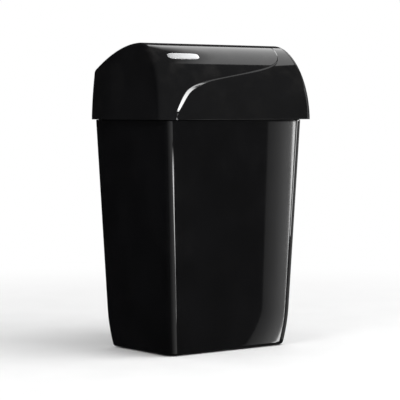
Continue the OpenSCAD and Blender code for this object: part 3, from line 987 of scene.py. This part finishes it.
    def _knuckle(self, outside: np.ndarray, inside: np.ndarray) -> np.ndarray:
        """Rounded patch at a rear foot of the hood, where the lower lip meets the rear lip.

        It is the lips' half circle, turned from facing down to facing back.

        Args:
            outside: The foot's point on the outer sheet.
            inside: The foot's point on the inner sheet.

        Returns:
            The patch's grid.
        """
        angle = np.linspace(0.0, np.pi, self.lip_rows)[None, :, None]
        turn = np.linspace(0.0, np.pi / 2, 6)[:, None, None]
        out = np.sin(turn) * np.array([0.0, self.lip, 0.0])
        out = out - np.cos(turn) * np.array([0.0, 0.0, self.lip])
        across = (outside - inside) / 2 * np.cos(angle)
        return (outside + inside) / 2 + across + out * np.sin(angle)

    def build(self) -> bpy.types.Object:
        """Make the hood.

        Returns:
            The piece, which stands for the node lid_hood.
        """
        outer, inner = self._sheet(0.0), self._sheet(self.wall)
        for sheet in (outer, inner):
            sheet[0, :, 2] += self.lip
            sheet[-1, :, 1] -= self.lip
            sheet[:, (0, -1), 1] = self.high.y - self.lip
            sheet[:, (0, -1), 2] = self.low.z + self.lip
        parts = MeshParts()
        rows, columns = outer.shape[:2]
        faces = grid_faces(rows, columns)
        parts.add(outer, faces)
        parts.add(inner, faces, flip=True)
        lower, rear = self._lips(outer, inner)
        parts.add(lower, grid_faces(len(lower), columns), flip=True)
        parts.add(rear, grid_faces(len(rear), columns))
        for column in (0, -1):
            knuckle = self._knuckle(outer[0, column], inner[0, column])
            parts.add(knuckle, grid_faces(*knuckle.shape[:2]), flip=column == 0)
        self._bosses(parts)
        piece = parts.build("hood_shell")
        piece.data.materials.append(self.finish.material())
        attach(piece, "hood")
        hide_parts("lid_hood")
        return piece

    def _bosses(self, parts: MeshParts) -> None:
        """Add the bosses on the side walls that the arms' screws go into.

        Args:
            parts: The hood's mesh parts.
        """
        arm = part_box("hinge_arm_right")[1].x
        for back, down in self.boss_places:
            y, z = self.hinge_y - back, self.hinge_z - down
            wall = float(self.half_at(np.array(z))) - self.wall / 2
            for side in (-1, 1):
                root = Vector((side * wall, y, z))
                parts.add(*turned_stub(root, Vector((-side, 0, 0)), wall - arm - self.boss_gap,
                                       self.boss_radius, self.boss_edge))


@dataclass
class Badge:
    """The blank badge: a thin domed plate with rounded ends on the hood's brow."""

    hood: Hood
    tilt: float = math.radians(55.5)
    half_tilt: float = math.radians(3.8)
    thick: float = 0.0009
    lift: float = 0.00005
    end_share: float = 0.3
    rim_share: float = 0.25
    rows: int = 21
    columns: int = 61
    finish: Finish = SATIN_PLATE

    def _sheet(self, rise: float, rim_rise: float) -> np.ndarray:
        """The grid of one side of the plate, which follows the hood's front.

        The outline's half height keeps end_share of its size at the ends and grows by a
        fifth power towards the middle, and the rise falls off by an eighth power at the rim.

        Args:
            rise: How far the middle stands off the hood.
            rim_rise: How far the rim does.

        Returns:
            Points by row and by place across.
        """
        low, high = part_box("blank_badge")
        middle, half = (low.x + high.x) / 2, (high.x - low.x) / 2
        u = np.sin(np.linspace(-np.pi / 2, np.pi / 2, self.columns))[None, :]
        v = np.sin(np.linspace(-np.pi / 2, np.pi / 2, self.rows))[:, None]
        reach = self.half_tilt * (
            self.end_share + (1 - self.end_share) * np.sqrt(1 - np.abs(u) ** 5))
        section = self.hood.front_profile((self.tilt + reach * v).ravel(), 0.0)
        y, z, ny, nz = section.reshape(self.rows, self.columns, 4).transpose(2, 0, 1)
        rim = np.maximum(np.abs(u), np.abs(v)) ** 8
        off = rim_rise + (rise - rim_rise) * np.sqrt(1 - rim)
        return np.stack([middle + half * u + 0 * v, y + ny * off, z + nz * off], axis=2)

    def build(self) -> bpy.types.Object:
        """Make the badge.

        Returns:
            The piece, which stands for the node blank_badge.
        """
        rim_rise = self.lift + (self.thick - self.lift) * self.rim_share
        top, under = self._sheet(self.thick, rim_rise), self._sheet(self.lift, self.lift)
        parts = MeshParts()
        faces = grid_faces(self.rows, self.columns)
        parts.add(top, faces)
        parts.add(under, faces, flip=True)
        for side, flip in ((np.s_[0, :], True), (np.s_[-1, :], False),
                           (np.s_[:, 0], False), (np.s_[:, -1], True)):
            strip = np.stack([top[side], under[side]])
            parts.add(strip, grid_faces(2, strip.shape[1]), flip=flip)
        piece = parts.build("badge_plate")
        piece.data.materials.append(self.finish.material())
        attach(piece, "hood")
        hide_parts("blank_badge")
        return piece


# ---------- pieces that keep their CAD mesh ----------


@dataclass
class Fittings:
    """Panel, hinge, ring and feet: their CAD meshes are right, and they get their finishes."""

    plan: dict[Finish, tuple[str, ...]] = field(default_factory=lambda: {
        GRAINED_PANEL: ("back_panel", "rod_cap_left", "rod_cap_right", "ring_clip_left",
                        "ring_clip_right", "hinge_arm_left", "hinge_arm_right"),
        SATIN_RING: ("bag_ring",),
        BEARING: ("hinge_bush_left", "hinge_bush_right"),
        RUBBER: ("foot_front_left", "foot_front_right", "foot_rear_left", "foot_rear_right",
                 "buffer_left", "buffer_right"),
        DRAWN_STEEL: ("hinge_rod",),
        ZINC_STEEL: ("panel_screws", "arm_screws"),
    })

    def dress(self) -> None:
        """Put each finish on its nodes."""
        for finish, nodes in self.plan.items():
            material = finish.material()
            for node in nodes:
                mesh = frame["nodes"][node].data
                mesh.materials.clear()
                mesh.materials.append(material)
                LOG.info("%s dressed in %s", node, finish.name)


# ---------- studio ----------


@dataclass(frozen=True)
class Glow:
    """The glow of a card that the gloss reflects.

    Attributes:
        stops: Pairs of a place from 0, the left edge, to 1 and the brightness there.
        soft_ends: Share of the height over which the lower and the upper edge fade.
        lift: Brightness at the upper edge, as a share of that at the lower edge.
    """

    stops: tuple[tuple[float, float], ...]
    soft_ends: tuple[float, float] = (0.0, 0.0)
    lift: float = 1.0

    def material(self, name: str) -> bpy.types.Material:
        """Build the glow as an emission material that reads the card's UV map.

        Args:
            name: The material's name.

        Returns:
            The material.
        """
        made = bpy.data.materials.new(name)
        build = fresh_tree(made)
        place = build.add("ShaderNodeTexCoord").outputs["UV"]
        split = build.add("ShaderNodeSeparateXYZ", {"Vector": place})
        across, up = split.outputs["X"], split.outputs["Y"]
        peak = max(level for _, level in self.stops)
        shade = build.add("ShaderNodeValToRGB", {"Fac": across})
        while len(shade.color_ramp.elements) < len(self.stops):
            shade.color_ramp.elements.new(1.0)
        for element, (at, level) in zip(shade.color_ramp.elements, self.stops):
            element.position = at
            element.color = (level / peak, level / peak, level / peak, 1.0)
        strength = build.math("MULTIPLY", shade.outputs[0],
                              build.ramp(up, 0.0, 1.0, peak, peak * self.lift, smooth=False))
        low_soft, high_soft = self.soft_ends
        for edge, inner, soft in ((0.0, low_soft, low_soft), (1.0, 1.0 - high_soft, high_soft)):
            if soft:
                strength = build.math("MULTIPLY", strength, build.ramp(up, edge, inner))
        glow = build.add("ShaderNodeEmission", {"Strength": strength})
        build.add("ShaderNodeOutputMaterial", {"Surface": glow.outputs[0]})
        return made


@dataclass
class Studio:
    """Camera, pale floor, soft lamps, and the cards that the gloss reflects."""

    bucket: Bucket
    hood: Hood
    azimuth: float = 38.0
    pitch: float = 3.015
    distance: float = 3.2587
    height: float = 0.4442
    eye_shift: float = 0.0015
    lens: float = 157.95
    floor_half: float = 30.0
    floor_fade: tuple[float, float] = (0.25, 1.7)
    bright_way: tuple[float, float, float] = (0.6, -0.78, 0.15)
    bright_span: tuple[float, float] = (-0.6, 0.9)
    horizon: tuple[float, float] = (-0.06, 0.02)
    gloss_dark: tuple[float, float] = (0.026, 0.152)
    gloss_below: float = 0.5
    matt_dim: float = 0.3

    def __post_init__(self) -> None:
        """Work out the eye and its directions from azimuth, pitch and distance."""
        az, tip = math.radians(self.azimuth), math.radians(self.pitch)
        self.forward = Vector((math.sin(az) * math.cos(tip), math.cos(az) * math.cos(tip),
                               -math.sin(tip)))
        self.eye = Vector((-math.sin(az) * self.distance,
                           -math.cos(az) * self.distance + self.eye_shift, self.height))

    def camera(self) -> None:
        """Make the camera, level from side to side, and make it the scene's."""
        data = bpy.data.cameras.new("camera")
        data.lens = self.lens
        data.sensor_width = 36.0
        eye = new_object("camera", data)
        right = self.forward.cross(Vector((0, 0, 1))).normalized()
        up = right.cross(self.forward)
        turn = Matrix((right, up, -self.forward)).transposed().to_4x4()
        eye.matrix_world = Matrix.Translation(self.eye) @ turn
        bpy.context.scene.camera = eye

    def floor(self) -> None:
        """Make the pale floor, which the gloss doesn't reflect."""
        size = self.floor_half
        mesh = bpy.data.meshes.new("floor")
        mesh.from_pydata([(-size, -size, 0), (size, -size, 0), (size, size, 0), (-size, size, 0)],
                         [], [(0, 1, 2, 3)])
        plane = new_object("floor", mesh)
        mesh.materials.append(self._fading(PALE_FLOOR.material()))
        plane.visible_glossy = False

    def _fading(self, pale: bpy.types.Material) -> bpy.types.Material:
        """Let the floor pass into the white of the room with growing distance.

        Args:
            pale: The floor's finish.

        Returns:
            The same material, mixed with white light by a smooth step of the radius.
        """
        build = NodeTree(pale.node_tree)
        output = next(n for n in pale.node_tree.nodes if n.type == "OUTPUT_MATERIAL")
        surface = output.inputs["Surface"].links[0].from_socket
        place = build.add("ShaderNodeTexCoord").outputs["Object"]
        away = build.add("ShaderNodeVectorMath", {0: place}, operation="LENGTH").outputs["Value"]
        white = build.add("ShaderNodeEmission", {"Strength": 1.0})
        mix = build.add("ShaderNodeMixShader", {
            0: build.ramp(away, *self.floor_fade), 1: surface, 2: white.outputs[0]})
        build.tree.links.new(mix.outputs[0], output.inputs["Surface"])
        return pale

    def world(self) -> None:
        """Make the room: white to the eye, pale to matt surfaces, near black to the gloss."""
        made = bpy.data.worlds.new("room")
        bpy.context.scene.world = made
        build = fresh_tree(made)
        way = build.add("ShaderNodeTexCoord").outputs["Generated"]
        towards = build.add("ShaderNodeVectorMath", {0: way, 1: self.bright_way},
                            operation="DOT_PRODUCT").outputs["Value"]
        high = build.add("ShaderNodeSeparateXYZ", {"Vector": way}).outputs["Z"]
        front = build.ramp(towards, *self.bright_span, *self.gloss_dark)
        above = build.ramp(high, *self.horizon, self.gloss_below)
        dark = build.math("MULTIPLY", front, above)
        path = build.add("ShaderNodeLightPath")
        matt = build.math("MULTIPLY_ADD", path.outputs["Is Diffuse Ray"], -self.matt_dim, 1.0)
        keep = build.math("SUBTRACT", 1.0, path.outputs["Is Glossy Ray"])
        light = build.math("MULTIPLY_ADD", path.outputs["Is Glossy Ray"], dark,
                           build.math("MULTIPLY", keep, matt))
        glow = build.add("ShaderNodeBackground", {"Color": (1.0, 1.0, 1.0, 1.0), "Strength": light})
        build.add("ShaderNodeOutputWorld", {"Surface": glow.outputs[0]})

    def lamp(self, name: str, place: tuple[float, float, float], size: float, power: float) -> None:
        """Add a soft square lamp that looks at the bin and isn't reflected by it.

        Args:
            name: Its name.
            place: Where it hangs.
            size: Its side.
            power: Its power in watts.
        """
        data = bpy.data.lights.new(name, "AREA")
        data.size = size
        data.energy = power
        lamp = new_object(name, data)
        lamp.location = place
        aim = Vector((0.0, 0.0, 0.3)) - Vector(place)
        lamp.rotation_euler = aim.to_track_quat("-Z", "Y").to_euler()
        lamp.visible_glossy = False
        lamp.visible_camera = False

    def _mirrored(self, point: Vector, normal: Vector) -> Vector:
        """Direction that the eye sees in the gloss at a point.

        Args:
            point: The point of the bin.
            normal: The surface's outward normal there.

        Returns:
            The reflected direction: the line of sight less twice its share along the normal.
        """
        sight = (point - self.eye).normalized()
        normal = normal.normalized()
        return sight - normal * (2 * sight.dot(normal))

    def card(self, name: str, corners: list[Vector], glow: Glow) -> None:
        """Add a glowing card that only the gloss sees.

        Its grid mixes the corners from left to right, then from the lower edge upwards.

        Args:
            name: Its name.
            corners: Lower left, lower right, upper right and upper left corner.
            glow: Its glow.
        """
        steps = 24
        across = np.linspace(0, 1, steps + 1)
        a, b, c, d = (np.array(v) for v in corners)
        u, v = np.meshgrid(across, across)
        low = a * (1 - u[..., None]) + b * u[..., None]
        top = d * (1 - u[..., None]) + c * u[..., None]
        points = low * (1 - v[..., None]) + top * v[..., None]
        mesh = bpy.data.meshes.new(name)
        faces = grid_faces(steps + 1, steps + 1)
        mesh.from_pydata(points.reshape(-1, 3), [], faces.tolist())
        layer = mesh.uv_layers.new(name="card")
        uv = np.stack([u.ravel(), v.ravel()], axis=1)[faces.ravel()]
        layer.data.foreach_set("uv", uv.ravel().astype(np.float32))
        mesh.materials.append(glow.material(name))
        card = new_object(name, mesh)
        for kind in ("camera", "diffuse", "shadow", "transmission"):
            setattr(card, "visible_" + kind, False)

    def _aimed(self, name: str, start: Vector, distance: float,
               corners: tuple[tuple[float, float], ...], glow: Glow) -> None:
        """Place a card by the directions in which a point of the bin sees its corners.

        Args:
            name: Its name.
            start: The point of the bin.
            distance: How far away the corners are.
            corners: Degrees from +X towards +Y and degrees above the level, for the lower
                left, lower right, upper right and upper left corner.
            glow: Its glow.
        """
        places = []
        for azimuth, rise in corners:
            az, el = math.radians(azimuth), math.radians(rise)
            way = Vector((math.cos(az) * math.cos(el), math.sin(az) * math.cos(el), math.sin(el)))
            places.append(start + way * distance)
        self.card(name, places, glow)

    def _shown(self, x: float, z: float, gap: float = 0.45) -> Vector:
        """Point of the room that the bucket's flat front shows.

        Args:
            x: Place across the front.
            z: Height on the front.
            gap: How far away the point is.

        Returns:
            The point.
        """
        bucket = self.bucket
        place = Vector((x, bucket.front + bucket.front_draft * (bucket.edge_z - z), z))
        return place + self._mirrored(place, Vector((0.0, -1.0, -bucket.front_draft))) * gap

    def _front_cards(self) -> None:
        """Place the two cards that the right part of the flat front shows as a grey band.

        The band grows brighter to the right, ends in a bright line on the corner and goes
        on dimly round it. The foot's card hangs below and widens where the foot pulls in.
        """
        wider, low_z, top_z = 1.3, 0.075, self.bucket.edge_z - 0.004
        foot_drop, foot_lead, foot_width = 0.55, 0.09, 1.74
        band = ((0.0, 0.34), (0.22, 0.47), (0.45, 0.67), (0.68, 1.05), (0.93, 1.6), (1.02, 2.0),
                (1.05, 14.0), (1.12, 14.0), (1.15, 0.35), (wider, 0.35))
        glow = Glow(tuple((at / wider, level) for at, level in band))
        low_left, low_right = self._shown(0.0715, low_z), self._shown(0.127, low_z)
        top_left, top_right = self._shown(0.0755, top_z), self._shown(0.134, top_z)
        strip = low_right - low_left
        far_low, far_top = low_left + strip * wider, top_left + (top_right - top_left) * wider
        self.card("card_right", [low_left, far_low, far_top, top_left], glow)
        foot_left = low_left + (low_left - top_left) * foot_drop - strip * foot_lead
        foot_right = foot_left + strip * foot_width
        self.card("card_foot", [foot_left, foot_right, far_low, low_left], glow)

    def _shade_card(self) -> None:
        """Place the narrow card that stands beside the bucket's right front corner.

        It leans with the side wall, and keeps the corner's far edge grey.
        """
        bucket = self.bucket
        beside, ahead, depth, below_edge, level = 0.012, 0.02, 0.03, 0.0045, 0.45
        near = Vector((bucket.half + beside, bucket.front - ahead, 0.0))
        lean, deep = Vector((-0.021, 0.014, 0.0)), Vector((0.0, depth, 0.0))
        rise = Vector((0.0, 0.0, bucket.edge_z - below_edge))
        self.card("card_shade", [near + lean, near + lean + deep, near + rise + deep, near + rise],
                  Glow(((0.0, level), (1.0, level))))

    def cards(self) -> None:
        """Place every card where the bin's gloss shows it to the eye."""
        bucket = self.bucket
        corner = Vector((bucket.front_corner - bucket.half, bucket.front + bucket.front_corner,
                         0.25))
        self._front_cards()
        self._aimed("card_left", corner, distance=0.8,
                    corners=((-118, -60), (-56, -60), (-56, 8.6), (-118, 8.6)),
                    glow=Glow(((0.0, 0.12), (0.3, 0.3), (0.55, 0.6), (0.8, 0.85), (1.0, 0.95))))
        self._aimed("card_line", corner, distance=0.7,
                    corners=((-66.5, -29), (-54.9, -29), (-54.3, 6.5), (-65.5, 6.5)),
                    glow=Glow(((0.0, 14.0), (1.0, 14.0)), soft_ends=(0.15, 0.18)))
        self._aimed("card_step", Vector((-0.12, -0.1, 0.46)), distance=1.9,
                    corners=((-38.7, -14), (0, -13), (0, -3.2), (-38.7, -1.5)),
                    glow=Glow(((0.0, 7.0), (0.3, 13.0), (1.0, 14.0))))
        self._shade_card()
        self._aimed("card_trace", Vector((0.05, -0.09, 0.5)), distance=4.0,
                    corners=((-47, -10), (-34, -10), (-12, 28), (-41, 22)),
                    glow=Glow(((0.0, 1.3), (1.0, 1.3))))
        self._brow_card()

    def _brow_card(self) -> None:
        """Place the soft overhead card that the hood's brow shows as a grey band.

        Its edges are the reflections of four places on the brow: the band's sharp lower
        edge and its upper end, at the left and far to the right.
        """
        gap, low, high = 1.1, 46.6, 74.5
        corners = []
        for x, rise in ((-0.137, low), (0.45, low), (0.45, high), (-0.29, high)):
            y, z, ny, nz = self.hood.front_profile(np.array([math.radians(rise)]), 0.0)[0]
            place = Vector((x, y, z))
            corners.append(place + self._mirrored(place, Vector((0.0, ny, nz))) * gap)
        self.card("card_brow", corners,
                  Glow(((0.0, 0.05), (0.15, 1.7), (0.4, 1.9), (1.0, 2.4)), lift=1.45))

    def build(self) -> None:
        """Make the camera, the floor, the room, the lamps and the cards."""
        self.camera()
        self.floor()
        self.world()
        self.lamp("lamp_high", place=(0.7, -1.2, 2.4), size=1.8, power=48.0)
        self.lamp("lamp_left", place=(-1.9, -0.6, 1.7), size=1.2, power=14.0)
        self.cards()


def main() -> None:
    """Build the bin's visual pieces in order, dress the fittings and light the scene."""
    logging.basicConfig(level=logging.INFO, format="%(name)s: %(message)s")
    bpy.context.scene.view_settings.view_transform = "Standard"
    bucket, hood = Bucket(), Hood()
    for piece in (bucket.build(), hood.build(), Badge(hood).build()):
        LOG.info("%s has %d faces", piece.name, len(piece.data.polygons))
    Fittings().dress()
    Studio(bucket, hood).build()


if __name__ == "__main__":
    main()
